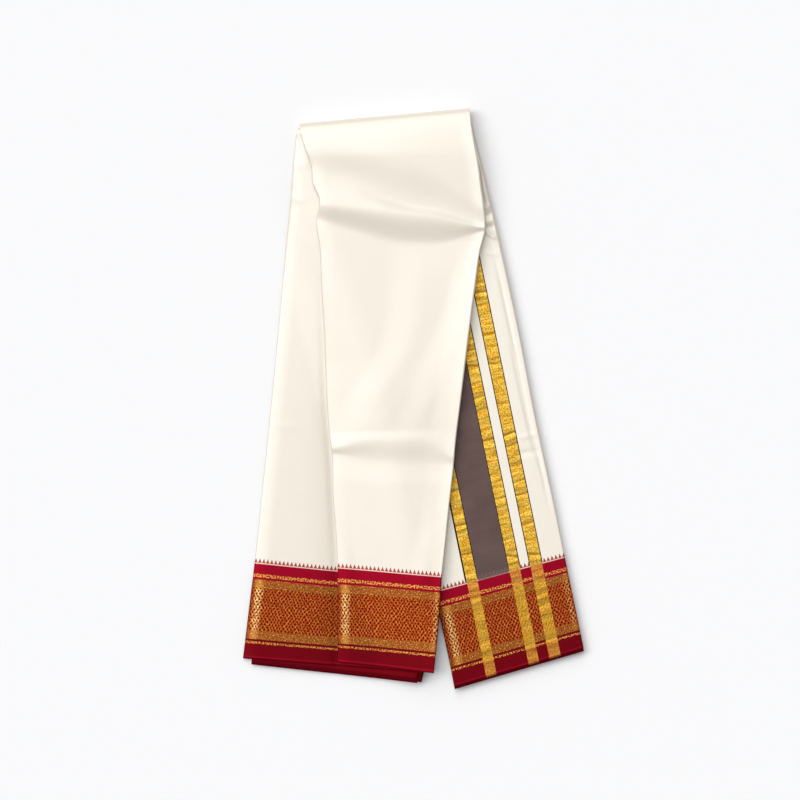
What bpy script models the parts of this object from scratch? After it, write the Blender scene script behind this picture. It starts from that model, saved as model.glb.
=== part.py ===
"""A dhoti of ivory silk: one long cloth folded into a strip, folded once more at the top, lying on its back half."""

import math

import bpy
import numpy as np

# Each layer is placed by its distance from the middle plane between the two halves, in millimetres.
MIDDLE_HEIGHT = 10.55
FRONT_SURFACE = 10.55
LEFT_SURFACE = 6.05
INSIDE_SURFACE = 0.15
FRONT_WALL = 1.5
LEFT_WALL = 1.2
PALLU_WALL = 1.2
GAP = 0.3
OUTER_LAYERS_FRONT_FLOOR = 6.75
OUTER_LAYERS_BACK_FLOOR = 6.5

# Rolled edges: the radius that the outer layer turns over the layers inside it
FRONT_ROLL = 3.2
LEFT_ROLL = 5.0
PALLU_ROLL = 5.0
SMALL_ROLL = 0.6
FRONT_FLOOR_ROLL = 0.4
FLAT_BEND = 0.02

# The front half comes down from the back half to the table over this width.
SLOPE_WIDTH = 80.0
SLOPE_CLEARANCE = 5.0
SLOPE_SLACK = 0.9

# Where the hidden layers end past the hems, as rounded steps
HEM_STEP = 1.8
HEM_RISE = 0.9
SIDE_GROOVE = 0.35
SIDE_GROOVE_SHARE = 0.12

# Mid-point of the finished outline in the tables' own plan, so that the part stands centred.
PLAN_CENTRE = (0.23, -1.21)

# Edges of each half at rows across it, from the hem to the top fold: left x, left y, right x, right y.
FOLD_ROW = (-128.5, 302.0, 64.9, 319.5)
FRONT_EDGES = (
    (-86.5, -302.0, 23.5, -313.5),
    (-86.5, -249.0, 29.0, -256.0),
    (-86.5, -195.5, 32.5, -205.0),
    (-88.5, -151.0, 37.5, -158.0),
    (-91.5, -111.0, 41.5, -118.0),
    (-92.5, -68.0, 46.0, -78.0),
    (-95.5, -45.0, 48.0, -54.0),
    (-99.0, 3.0, 54.0, -5.0),
    (-101.5, 71.0, 62.5, 65.0),
    (-105.0, 130.5, 70.5, 127.0),
    (-106.5, 169.5, 76.0, 167.0),
    (-110.5, 200.0, 82.0, 193.0),
    (-107.0, 224.5, 80.0, 219.5),
    (-114.5, 243.5, 77.0, 242.0),
    (-116.0, 261.0, 74.5, 263.0),
    (-124.5, 286.5, 69.0, 293.0),
    FOLD_ROW,
)
FRONT_SEAM_ROW = 2
LEFT_EDGES = (
    (-195.0, -298.0, 10.0, -316.0),
    (-188.0, -241.0, 24.0, -262.0),
    (-181.0, -185.5, 31.0, -207.0),
    (-171.5, -94.0, 42.0, -115.0),
    (-162.0, -3.0, 53.0, -17.0),
    (-153.0, 88.5, 64.5, 80.0),
    (-145.0, 179.5, 77.0, 176.0),
    (-140.5, 225.0, 78.5, 224.0),
    (-134.5, 282.0, 69.5, 288.0),
    FOLD_ROW,
)
LEFT_SEAM_ROW = 2
BACK_EDGES = (
    (47.0, -330.5, 195.0, -286.5),
    (37.3, -283.0, 185.5, -241.0),
    (27.3, -236.5, 176.0, -196.0),
    (8.5, -150.0, 159.0, -112.0),
    (-10.5, -60.0, 139.5, -22.0),
    (-34.5, 42.5, 119.5, 80.0),
    (-63.0, 134.0, 101.0, 166.0),
    (-95.0, 219.5, 82.0, 250.0),
    (-117.0, 272.0, 71.0, 296.0),
    FOLD_ROW,
)
BACK_SEAM_ROW = 2

# Main folds of the front layer: start x, start y, end x, end y, half width, height over the rest.
MAIN_FOLDS = (
    (-103.0, 287.0, -25.0, 247.0, 11.0, -0.9),
    (-25.0, 247.0, 78.0, 212.0, 10.0, -0.8),
    (-103.0, 230.0, 82.0, 197.0, 7.0, 1.6),
    (-100.0, 200.0, -30.0, 187.0, 8.0, -0.8),
    (-30.0, 187.0, 80.0, 189.0, 9.0, -0.9),
    (-91.0, -53.0, 46.0, -63.0, 7.0, 1.2),
    (-89.0, -68.0, 40.0, -74.0, 6.0, -0.8),
)

# Shares of the flat width between the two rolled edges where each section has a point
ROLL_STEPS = 3
FRONT_SHARES = tuple(np.linspace(0, 1, 14)[1:-1])
LEFT_SHARES = tuple(np.linspace(0, 1, 14)[1:-1])
BACK_SHARES = tuple(np.linspace(0, 1, 8)[1:-1])
FOLD_ANGLES = tuple(np.linspace(0, math.pi, 9))
LEFT_LAST_ANGLE = math.radians(166)

IVORY = (0.90, 0.87, 0.79)
CRIMSON = (0.30, 0.01, 0.03)
HIDDEN = (0.80, 0.76, 0.68)


def clear_scene():
    for obj in list(bpy.data.objects):
        bpy.data.objects.remove(obj)


def stations(table):
    """Distance of each row of a table from its hem, along the middle of the half."""
    rows = np.array(table)
    middles = (rows[:, :2] + rows[:, 2:]) / 2
    steps = np.linalg.norm(np.diff(middles, axis=0), axis=1)
    return np.concatenate([[0.0], np.cumsum(steps)])


def edge_row(table, along):
    """Both edge points at one distance along a half, on a smooth line through the table's rows."""
    rows = np.array(table)
    at = stations(table)
    if along <= at[0]:
        return rows[0] + (rows[1] - rows[0]) * (along - at[0]) / (at[1] - at[0])
    slopes = np.gradient(rows, at, axis=0)
    index = int(min(np.searchsorted(at, along) - 1, len(at) - 2))
    width = at[index + 1] - at[index]
    t = (along - at[index]) / width
    start = (2 * t**3 - 3 * t**2 + 1) * rows[index] + (t**3 - 2 * t**2 + t) * width * slopes[index]
    end = (3 * t**2 - 2 * t**3) * rows[index + 1] + (t**3 - t**2) * width * slopes[index + 1]
    return start + end


def smooth(value):
    value = min(max(value, 0.0), 1.0)
    return value * value * (3 - 2 * value)


def table_height(x, y, upper):
    """Height of what the front half lies on: the back half at the right, the table at the left."""
    rows = np.array(BACK_EDGES)
    back_left = np.interp(y, rows[:, 1], rows[:, 0])
    past_edge = (x - back_left) * 0.965
    share = smooth((past_edge + SLOPE_CLEARANCE + SLOPE_WIDTH) / SLOPE_WIDTH)
    slack = SLOPE_SLACK * 4 * share * (1 - share) if upper else 0.0
    return (MIDDLE_HEIGHT + INSIDE_SURFACE) * share - INSIDE_SURFACE + slack


def fold_height(x, y):
    """Height that the main folds add to the front layer at one place."""
    height = 0.0
    for x0, y0, x1, y1, width, rise in MAIN_FOLDS:
        length = math.hypot(x1 - x0, y1 - y0)
        along = ((x - x0) * (x1 - x0) + (y - y0) * (y1 - y0)) / length
        across = ((x - x0) * (y1 - y0) - (y - y0) * (x1 - x0)) / length
        ends = smooth(along / 20 + 0.5) * smooth((length - along) / 20 + 0.5)
        height += rise * ends * math.exp(-((across / width) ** 2))
    return height


def row_points(table, part, along, angle=None):
    """What a section needs to know of its row: where it lies and whether it is in the front, the fold or the back."""
    left_x, left_y, right_x, right_y = edge_row(table, along)
    width = math.hypot(right_x - left_x, right_y - left_y)
    across = ((right_x - left_x) / width, (right_y - left_y) / width)
    row = {"left": (left_x, left_y), "across": across, "width": width, "part": part, "angle": angle}
    row["upper"] = table is FRONT_EDGES
    return row


def fold_row(angle):
    return row_points(FRONT_EDGES, "fold", stations(FRONT_EDGES)[-1], angle)


def place(row, inset, distance, folds=0.0):
    """A point of a section, from its place across the row and its distance from the middle plane."""
    x = row["left"][0] + row["across"][0] * inset
    y = row["left"][1] + row["across"][1] * inset
    if row["part"] == "front":
        z = table_height(x, y, row["upper"]) + distance + folds * fold_height(x, y)
    elif row["part"] == "fold":
        reach = distance * math.sin(row["angle"])
        x -= row["across"][1] * reach
        y += row["across"][0] * reach
        z = MIDDLE_HEIGHT + distance * math.cos(row["angle"])
    else:
        z = MIDDLE_HEIGHT - distance
    return (x - PLAN_CENTRE[0], y - PLAN_CENTRE[1], z)


def chain(row, surface, roll, bend, depth, shares, inward=-1, folds=0.0):
    """Points across a row on or under a layer whose two edges roll over, from the left edge to the right one."""
    radius = roll / bend
    turn = bend * math.pi / 2
    flat_start = radius * math.sin(turn)
    flat_width = row["width"] - 2 * flat_start
    edge = []
    for step in range(ROLL_STEPS + 1):
        angle = turn * (1 - step / ROLL_STEPS)
        drop = radius - (radius - depth) * math.cos(angle)
        edge.append((flat_start - (radius - depth) * math.sin(angle), drop, math.cos(angle)))
    flat = [(flat_start + share * flat_width, depth, 1.0) for share in shares]
    mirrored = [(row["width"] - inset, drop, level) for inset, drop, level in reversed(edge)]
    return [place(row, inset, surface + inward * drop, folds * level) for inset, drop, level in edge + flat + mirrored]


def sheet_ring(row, surface, wall, roll, bend, shares, inward=-1, folds=0.0):
    """Closed section of one layer of cloth."""
    outside = chain(row, surface, roll, bend, 0.0, shares, inward, folds)
    inside = chain(row, surface, roll, bend, wall, shares, inward, folds)
    return outside + inside[::-1]


def side(row, start, end, outward):
    """Two rounded layer edges between the last points of an upper and a lower chain."""
    points = []
    groove = min(SIDE_GROOVE, SIDE_GROOVE_SHARE * math.dist(start, end))
    for share, reach in ((0.25, 1), (0.5, -1), (0.75, 1)):
        point = [a + (b - a) * share for a, b in zip(start, end)]
        point[0] += row["across"][0] * outward * reach * groove
        point[1] += row["across"][1] * outward * reach * groove
        points.append(tuple(point))
    return points


def bundle_ring(row, far, near, shares, near_shares, folds=0.0):
    """Closed section of hidden layers: far and near are (surface, roll, bend, depth) away from and next to the middle."""
    upper = chain(row, *far, shares, -1, folds)
    lower = chain(row, *near, near_shares, 1)
    right = side(row, upper[-1], lower[-1], 1)
    left = side(row, upper[0], lower[0], -1)
    return upper + right + lower[::-1] + left[::-1]


def solid(name, rings, rightward, colour, roughness, collection):
    """A closed solid through sections with equal numbers of points, of which the first run rightward.

    Each four-sided patch is cut along the same diagonal in every layer, so that the layers stay parallel.
    """
    count = len(rings[0])
    points = [tuple(value / 1000 for value in point) for ring in rings for point in ring]
    faces = [tuple(range(count)), tuple(range(len(points) - 1, len(points) - count - 1, -1))]
    for index in range(len(rings) - 1):
        for step in range(count):
            here = index * count + step
            beside = index * count + (step + 1) % count
            if step < rightward:
                faces.append((here, here + count, beside + count))
                faces.append((here, beside + count, beside))
            else:
                faces.append((here, here + count, beside))
                faces.append((here + count, beside + count, beside))
    mesh = bpy.data.meshes.new(name)
    mesh.from_pydata(points, [], faces)
    corners = np.array(points)
    mesh.calc_loop_triangles()
    triangles = np.array([triangle.vertices[:] for triangle in mesh.loop_triangles])
    if np.linalg.det(corners[triangles]).sum() < 0:
        mesh.flip_normals()
    mesh.shade_smooth()
    material = bpy.data.materials.new(name + "_cloth")
    material.use_nodes = True
    shader = material.node_tree.nodes["Principled BSDF"]
    shader.inputs["Base Color"].default_value = (*colour, 1)
    shader.inputs["Roughness"].default_value = roughness
    mesh.materials.append(material)
    obj = bpy.data.objects.new(name, mesh)
    collection.objects.link(obj)
    print(name, len(mesh.loop_triangles), "triangles")
    return obj


def with_middles(values):
    """The values of a list with the middle of each pair between them."""
    values = list(values)
    middles = [(a + b) / 2 for a, b in zip(values, values[1:])]
    return sorted(values + middles)


def half_rows(table, part, first, last, extra=False):
    """Rows of one half between two distances along it."""
    at = [value for value in stations(table) if first + 4 < value < last - 4]
    values = [first, *at, last]
    return [row_points(table, part, value) for value in (with_middles(values) if extra else values)]


def front_panel_rings():
    at = stations(FRONT_EDGES)
    rows = half_rows(FRONT_EDGES, "front", at[FRONT_SEAM_ROW] + GAP / 2, at[-1] - 6, True)
    rings = [sheet_ring(row, FRONT_SURFACE, FRONT_WALL, FRONT_ROLL, 1.0, FRONT_SHARES, folds=1.0) for row in rows]
    for angle in FOLD_ANGLES:
        rings.append(sheet_ring(fold_row(angle), FRONT_SURFACE, FRONT_WALL, FRONT_ROLL, FLAT_BEND, FRONT_SHARES))
    return rings


def front_border_rings():
    at = stations(FRONT_EDGES)
    rows = half_rows(FRONT_EDGES, "front", 0.0, at[FRONT_SEAM_ROW] - GAP / 2)
    return [sheet_ring(row, FRONT_SURFACE, FRONT_WALL, FRONT_ROLL, 1.0, FRONT_SHARES) for row in rows]


def left_panel_rings():
    at = stations(LEFT_EDGES)
    rows = half_rows(LEFT_EDGES, "front", at[LEFT_SEAM_ROW] + GAP / 2, at[-1] - 6, True)
    rings = [sheet_ring(row, LEFT_SURFACE, LEFT_WALL, LEFT_ROLL, 1.0, LEFT_SHARES) for row in rows]
    for angle in [*FOLD_ANGLES[:-1], LEFT_LAST_ANGLE]:
        rings.append(sheet_ring(fold_row(angle), LEFT_SURFACE, LEFT_WALL, LEFT_ROLL, FLAT_BEND, LEFT_SHARES))
    return rings


def left_border_rings():
    at = stations(LEFT_EDGES)
    rows = half_rows(LEFT_EDGES, "front", 0.0, at[LEFT_SEAM_ROW] - GAP / 2, True)
    return [sheet_ring(row, LEFT_SURFACE, LEFT_WALL, LEFT_ROLL, 1.0, LEFT_SHARES) for row in rows]


def pallu_rings(first, last):
    rows = half_rows(BACK_EDGES, "back", first, last)
    return [sheet_ring(row, INSIDE_SURFACE, PALLU_WALL, PALLU_ROLL, 1.0, BACK_SHARES, 1) for row in rows]


def back_sheet_rings():
    rows = half_rows(BACK_EDGES, "back", 0.0, stations(BACK_EDGES)[-1] - GAP)
    return [sheet_ring(row, FRONT_SURFACE, FRONT_WALL, FRONT_WALL, FLAT_BEND, BACK_SHARES) for row in rows]


def outer_layers_rings():
    """Hidden layers inside the front panel: along the front half, round the top fold, along the back half."""
    depth = FRONT_WALL + GAP + 0.1
    rolled = (FRONT_SURFACE, FRONT_ROLL, 1.0, depth)
    flat = (FRONT_SURFACE, FRONT_ROLL, FLAT_BEND, depth)
    front_floor = (OUTER_LAYERS_FRONT_FLOOR - depth, FRONT_FLOOR_ROLL + depth, 1.0, depth)
    back_floor = (OUTER_LAYERS_BACK_FLOOR, SMALL_ROLL, 1.0, 0.0)
    step = (FRONT_SURFACE, FRONT_ROLL, 1.0, depth + HEM_RISE)
    back_step = (FRONT_SURFACE, FRONT_ROLL, FLAT_BEND, depth)
    length = stations(FRONT_EDGES)[-1]
    first = row_points(FRONT_EDGES, "front", -HEM_STEP)
    second = row_points(FRONT_EDGES, "front", -0.2)
    rings = [bundle_ring(row, step, front_floor, FRONT_SHARES, BACK_SHARES) for row in (first, second)]
    at = stations(FRONT_EDGES)[FRONT_SEAM_ROW]
    for row in half_rows(FRONT_EDGES, "front", 0.8, at - GAP / 2):
        rings.append(bundle_ring(row, rolled, front_floor, FRONT_SHARES, BACK_SHARES))
    for row in half_rows(FRONT_EDGES, "front", at + GAP / 2, length - 6, True):
        rings.append(bundle_ring(row, rolled, front_floor, FRONT_SHARES, BACK_SHARES, folds=1.0))
    for angle in FOLD_ANGLES:
        rings.append(bundle_ring(fold_row(angle), flat, back_floor, FRONT_SHARES, BACK_SHARES))
    back = stations(BACK_EDGES)[-1]
    for row in reversed(half_rows(BACK_EDGES, "back", 0.8, back - 6)):
        rings.append(bundle_ring(row, flat, back_floor, FRONT_SHARES, BACK_SHARES))
    for along in (-0.2, -HEM_STEP):
        row = row_points(BACK_EDGES, "back", along)
        rings.append(bundle_ring(row, back_step, back_floor, FRONT_SHARES, BACK_SHARES))
    return rings


def inner_layers_rings():
    """Hidden layers next to the middle plane, inside the left panel and under the end piece of the back half."""
    wrapped = (LEFT_SURFACE, LEFT_ROLL, 1.0, LEFT_WALL + GAP)
    folded = (LEFT_SURFACE, LEFT_ROLL, FLAT_BEND, LEFT_WALL + GAP)
    table = (INSIDE_SURFACE, SMALL_ROLL, 1.0, 0.0)
    inside = (INSIDE_SURFACE, PALLU_ROLL, FLAT_BEND, PALLU_WALL + GAP)
    under_end = (INSIDE_SURFACE, PALLU_ROLL, 1.0, PALLU_WALL + GAP)
    outside = (OUTER_LAYERS_BACK_FLOOR - GAP, SMALL_ROLL, 1.0, 0.0)
    step = (LEFT_SURFACE, LEFT_ROLL, 1.0, LEFT_WALL + GAP + HEM_RISE)
    back_step = (INSIDE_SURFACE, PALLU_ROLL, 1.0, PALLU_WALL + GAP + HEM_RISE)
    length = stations(LEFT_EDGES)[-1]
    low = row_points(((-192.0, -300.5, 11.0, -327.0), LEFT_EDGES[1]), "front", 0.0)
    shares = (LEFT_SHARES, LEFT_SHARES)
    rings = [bundle_ring(low, step, table, *shares)]
    rings.append(bundle_ring(row_points(LEFT_EDGES, "front", -0.6), step, table, *shares))
    at = stations(LEFT_EDGES)[LEFT_SEAM_ROW]
    rows = half_rows(LEFT_EDGES, "front", 0.8, at - GAP / 2, True)
    rows += half_rows(LEFT_EDGES, "front", at + GAP / 2, length - 6, True)
    rings += [bundle_ring(row, wrapped, table, *shares) for row in rows]
    for angle in FOLD_ANGLES:
        near = table if angle < 0.1 else inside
        rings.append(bundle_ring(fold_row(angle), folded, near, *shares))
    back = stations(BACK_EDGES)[-1]
    for row in reversed(half_rows(BACK_EDGES, "back", 0.8, back - 4)):
        rings.append(bundle_ring(row, outside, under_end, *shares))
    for along in (-0.2, -HEM_STEP):
        rings.append(bundle_ring(row_points(BACK_EDGES, "back", along), outside, back_step, *shares))
    return rings


clear_scene()
dhoti = bpy.data.collections.new("folded_dhoti")
bpy.context.scene.collection.children.link(dhoti)
back_at = stations(BACK_EDGES)
back_seam = back_at[BACK_SEAM_ROW]
front_steps = len(FRONT_SHARES) + 2 * ROLL_STEPS + 1
left_steps = len(LEFT_SHARES) + 2 * ROLL_STEPS + 1
back_steps = len(BACK_SHARES) + 2 * ROLL_STEPS + 1
solid("front_panel", front_panel_rings(), front_steps, IVORY, 0.5, dhoti)
solid("front_border", front_border_rings(), front_steps, CRIMSON, 0.5, dhoti)
solid("left_panel", left_panel_rings(), left_steps, IVORY, 0.5, dhoti)
solid("left_border", left_border_rings(), left_steps, CRIMSON, 0.5, dhoti)
solid("pallu_panel", pallu_rings(back_seam + GAP / 2, back_at[-1] - 5), back_steps, IVORY, 0.5, dhoti)
solid("pallu_border", pallu_rings(0.0, back_seam - GAP / 2), back_steps, CRIMSON, 0.5, dhoti)
solid("back_sheet", back_sheet_rings(), back_steps, IVORY, 0.6, dhoti)
solid("outer_layers", outer_layers_rings(), front_steps, HIDDEN, 0.6, dhoti)
solid("inner_layers", inner_layers_rings(), left_steps, HIDDEN, 0.6, dhoti)
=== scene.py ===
# %% [markdown]
# # A folded silk dhoti
#
# A dhoti is one long woven cloth with a border along each of its long edges. Here it has been folded many
# times into a strip that runs from border to border, and the strip is folded once more at the top, so that
# both borders lie at the bottom. This lesson dresses the plain solids of that bundle with thin cloth, and
# weaves its borders, its gold stripes and its sheen in nodes. Everything is placed in the solids' own frame.

import math

import bpy
import numpy as np
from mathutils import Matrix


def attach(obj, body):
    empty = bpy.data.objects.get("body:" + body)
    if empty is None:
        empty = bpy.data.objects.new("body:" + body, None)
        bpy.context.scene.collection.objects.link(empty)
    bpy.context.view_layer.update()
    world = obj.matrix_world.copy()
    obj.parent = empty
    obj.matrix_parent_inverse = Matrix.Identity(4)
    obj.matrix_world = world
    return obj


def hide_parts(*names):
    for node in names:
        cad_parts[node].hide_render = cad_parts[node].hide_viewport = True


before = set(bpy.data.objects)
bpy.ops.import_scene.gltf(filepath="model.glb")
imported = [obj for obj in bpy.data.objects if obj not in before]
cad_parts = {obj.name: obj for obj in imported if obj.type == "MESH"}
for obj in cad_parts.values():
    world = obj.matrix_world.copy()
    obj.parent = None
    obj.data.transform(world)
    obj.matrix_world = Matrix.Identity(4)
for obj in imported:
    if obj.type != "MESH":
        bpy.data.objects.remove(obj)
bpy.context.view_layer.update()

# %% [markdown]
# ## The plan of the bundle
#
# Each half of the bundle is a strip that leans to its own side. The plan is a short table for each strip: the
# two ends of a row across it, at places from the hem to the top fold, each as x, y, x, y. A smooth line
# through the rows gives any row between them. All of it is in millimetres until the points are written,
# because cloth is thought of that way.

# %% Rows across each strip
PLAN_CENTRE = np.array((0.23, -1.21))
FOLD_ROW = (-128.5, 302.0, 64.9, 319.5)
FRONT_EDGES = (
    (-86.5, -302.0, 23.5, -313.5),
    (-86.5, -249.0, 29.0, -256.0),
    (-86.5, -195.5, 32.5, -205.0),
    (-88.5, -151.0, 37.5, -158.0),
    (-91.5, -111.0, 41.5, -118.0),
    (-92.5, -68.0, 46.0, -78.0),
    (-95.5, -45.0, 48.0, -54.0),
    (-99.0, 3.0, 54.0, -5.0),
    (-101.5, 71.0, 62.5, 65.0),
    (-105.0, 130.5, 70.5, 127.0),
    (-106.5, 169.5, 76.0, 167.0),
    (-110.5, 200.0, 82.0, 193.0),
    (-107.0, 224.5, 80.0, 219.5),
    (-114.5, 243.5, 77.0, 242.0),
    (-116.0, 261.0, 74.5, 263.0),
    (-124.5, 286.5, 69.0, 293.0),
    FOLD_ROW,
)
LEFT_EDGES = (
    (-195.0, -298.0, 10.0, -316.0),
    (-188.0, -241.0, 24.0, -262.0),
    (-181.0, -185.5, 31.0, -207.0),
    (-171.5, -94.0, 42.0, -115.0),
    (-162.0, -3.0, 53.0, -17.0),
    (-153.0, 88.5, 64.5, 80.0),
    (-145.0, 179.5, 77.0, 176.0),
    (-140.5, 225.0, 78.5, 224.0),
    (-135.5, 282.0, 69.5, 288.0),
    (-133.0, 301.6, 64.9, 319.5),
)
BACK_EDGES = (
    (47.0, -330.5, 195.0, -286.5),
    (37.3, -283.0, 185.5, -241.0),
    (27.3, -236.5, 176.0, -196.0),
    (8.5, -150.0, 159.0, -112.0),
    (-10.5, -60.0, 139.5, -22.0),
    (-34.5, 42.5, 119.5, 80.0),
    (-63.0, 134.0, 101.0, 166.0),
    (-95.0, 219.5, 82.0, 250.0),
    (-117.0, 272.0, 71.0, 296.0),
    FOLD_ROW,
)


def stations(table):
    """Distance of each row of a table from its hem."""
    rows = np.array(table)
    middles = (rows[:, :2] + rows[:, 2:]) / 2
    return np.concatenate([[0.0], np.cumsum(np.linalg.norm(np.diff(middles, axis=0), axis=1))])


def edge_rows(table, along):
    """Both ends of the rows at many distances along a strip, on a smooth line through the table."""
    rows, at = np.array(table), stations(table)
    slopes = np.gradient(rows, at, axis=0)
    index = np.clip(np.searchsorted(at, along) - 1, 0, len(at) - 2)
    width = (at[index + 1] - at[index])[:, None]
    t = (along[:, None] - at[index][:, None]) / width
    start = (2 * t**3 - 3 * t**2 + 1) * rows[index] + (t**3 - 2 * t**2 + t) * width * slopes[index]
    return start + (3 * t**2 - 2 * t**3) * rows[index + 1] + (t**3 - t**2) * width * slopes[index + 1]


FRONT_LENGTH = stations(FRONT_EDGES)[-1]
BACK_LENGTH = stations(BACK_EDGES)[-1]
print(f"front half {FRONT_LENGTH:.0f} mm, back half {BACK_LENGTH:.0f} mm from hem to fold")

# %% [markdown]
# ## Heights
#
# The back half lies flat. The front half lies on it at the right and comes down to the table at the left, in
# a soft slope. The middle plane between the halves is the one place where both meet, so every layer is
# placed by its distance from that plane: above it in the front half, round the top fold, and below it in
# the back half.

# %% The ground under the front half
MIDDLE_HEIGHT = 10.55
INSIDE_SURFACE = 0.15
SLOPE_START = -85  # from the back half's left edge, where the front half begins to rise
SLOPE_WIDTH = 80
SLACK = 0.9  # how far the upper layers stand off in the middle of the slope
SQUARE_TO_EDGE = 0.965  # the edge leans, so a step along x is a little more than the distance from it


def smooth(value):
    """0 below 0, 1 above 1, and an eased rise between."""
    value = np.clip(value, 0.0, 1.0)
    return value * value * (3 - 2 * value)


def ground(x, y, upper):
    """Height of what the front half lies on, in millimetres."""
    rows = np.array(BACK_EDGES)
    past_edge = (x - np.interp(y, rows[:, 1], rows[:, 0])) * SQUARE_TO_EDGE
    share = smooth((past_edge - SLOPE_START) / SLOPE_WIDTH)
    slack = SLACK * 4 * share * (1 - share) * upper
    return (MIDDLE_HEIGHT + INSIDE_SURFACE) * share - INSIDE_SURFACE + slack


# %% [markdown]
# ## Tucks and creases
#
# Silk keeps every crease it was pressed into. Two of them are tucks: the cloth swells to a crest and falls
# from it to a crisp line. The rest are soft ridges and troughs along lines, and steps, where the cloth climbs
# to the right across a line. They are placed as on the real cloth: one tuck a hand below the top,
# one across the middle, and faint pulls that run from one tuck to the other.

# %% Tucks and creases of the front stretch
FRONT_TUCKS = (
    # Each tuck is a row of lines from the top down, each with its height at the left, middle and right.
    (
        "upper tuck",
        (((-122.0, 309.6), (70.0, 325.0)), (2.8, 3.2, 2.6)),
        (((-117.7, 290.8), (-72.1, 283.9), (-15.1, 274.5), (30.5, 257.1), (81.8, 216.0)), (3.0, 4.4, 3.0)),
        (
            ((-117.7, 257.0), (-72.1, 248.2), (-43.6, 234.3), (-15.1, 223.0), (30.5, 213.9), (81.8, 195.5)),
            (1.6, 1.2, 1.0),
        ),
        (((-105.6, 221.4), (-72.1, 217.2), (-15.1, 209.0), (30.5, 203.3), (79.5, 193.0)), (2.9, 4.6, 2.1)),
        (
            (
                (-108.6, 201.2), (-72.1, 188.7), (-34.5, 177.3), (-15.1, 172.7),
                (30.5, 172.7), (51.8, 179.5), (79.5, 190.0),
            ),
            (0, 0, 0),
        ),
    ),
    (
        "middle tuck",
        (((-90.0, -38.0), (44.0, -34.0)), (0.0, 0.0, 0.0)),
        (((-90.0, -58.0), (-49.0, -49.0), (-14.0, -48.5), (25.0, -53.0), (44.0, -66.0)), (0.6, 0.65, 0.6)),
        (((-90.0, -64.5), (-49.0, -72.0), (-14.0, -74.5), (25.0, -76.5), (44.0, -77.0)), (-0.4, -0.7, -0.5)),
        (((-90.0, -100.0), (44.0, -100.0)), (0.0, 0.0, 0.0)),
    ),
)
FRONT_CREASES = (
    # name, line, half width, height
    ("tick ridge", ((-86.9, -54.2), (-34.5, -26.8), (11.1, 24.5), (25.9, 55.3)), 14, 0.2),
    ("low swell", ((2.0, -88.0), (24.0, -150.0), (4.0, -225.0), (22.0, -262.0)), 12, 0.3),
)
# A window: places along the cloth, and the share of the rise at each.
STEP_WINDOW = (
    (-330.0, -200.0, -100.0, -50.0, 20.0, 90.0, 140.0, 178.0),
    (0.1, 0.15, 0.2, 0.35, 0.9, 1.0, 0.8, 0.0),
)
EDGE_WINDOW = ((-330.0, -290.0, -80.0, -62.0, -30.0, 100.0, 178.0), (0.5, 0.6, 0.6, 0.5, 1.0, 0.8, 0.0))
FRONT_STEPS = (
    # name, line with the raised side at its right, half width of the slope, rise, window
    (
        "left step",
        ((-92.0, -60.0), (-58.0, -4.0), (-20.8, 60.0), (-10.0, 120.0), (-14.0, 190.0)),
        22, 1.8, STEP_WINDOW,
    ),
    (
        "pinch step",
        ((-25.0, -60.0), (12.0, 10.0), (30.0, 54.0), (46.0, 95.0), (58.0, 130.0), (76.0, 185.0)),
        18, 1.5, STEP_WINDOW,
    ),
    (
        "edge step",
        (
            (8.0, -297.0), (14.0, -174.0), (22.0, -140.0), (31.0, -60.0),
            (37.0, -14.0), (46.0, 54.0), (54.0, 122.0), (64.0, 176.0),
        ),
        16, 1.5, EDGE_WINDOW,
    ),
)


def through(at, stops, values):
    """A smooth curve through a few values, level beyond the first and the last."""
    stops, values = np.array(stops, float), np.array(values, float)
    if len(stops) < 3:
        return np.interp(at, stops, values)
    leans = np.gradient(values, stops)
    at = np.clip(at, stops[0], stops[-1])
    k = np.clip(np.searchsorted(stops, at) - 1, 0, len(stops) - 2)
    gap = stops[k + 1] - stops[k]
    t = (at - stops[k]) / gap
    start = values[k] * (1 + 2 * t) * (1 - t) ** 2 + leans[k] * gap * t * (1 - t) ** 2
    return start + values[k + 1] * t**2 * (3 - 2 * t) + leans[k + 1] * gap * t**2 * (t - 1)


def along_line(points, count=24):
    """A line through a few points, with more points between them."""
    points = np.array(points, float)
    at = np.concatenate([[0], np.cumsum(np.linalg.norm(np.diff(points, axis=0), axis=1))])
    even = np.linspace(0, at[-1], count)
    return np.stack([np.interp(even, at, points[:, 0]), np.interp(even, at, points[:, 1])], axis=1)


CREASE_FADE = 0.25  # share of a crease over which it fades, at each end
FAR = 1e9


def crease_height(x, y, creases):
    """Height that the creases add at many places."""
    height = np.zeros_like(x)
    for _, points, width, rise in creases:
        line = along_line(points)
        near = np.full_like(x, FAR)
        share = np.zeros_like(x)
        for index in range(len(line) - 1):
            (x0, y0), (x1, y1) = line[index], line[index + 1]
            length = math.hypot(x1 - x0, y1 - y0)
            t = np.clip(((x - x0) * (x1 - x0) + (y - y0) * (y1 - y0)) / length**2, 0, 1)
            away = np.hypot(x - x0 - t * (x1 - x0), y - y0 - t * (y1 - y0))
            closer = away < near
            near = np.where(closer, away, near)
            share = np.where(closer, (index + t) / (len(line) - 1), share)
        ends = smooth(share / CREASE_FADE) * smooth((1 - share) / CREASE_FADE)
        height += rise * ends * np.exp(-((near / width) ** 2))
    return height


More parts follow.
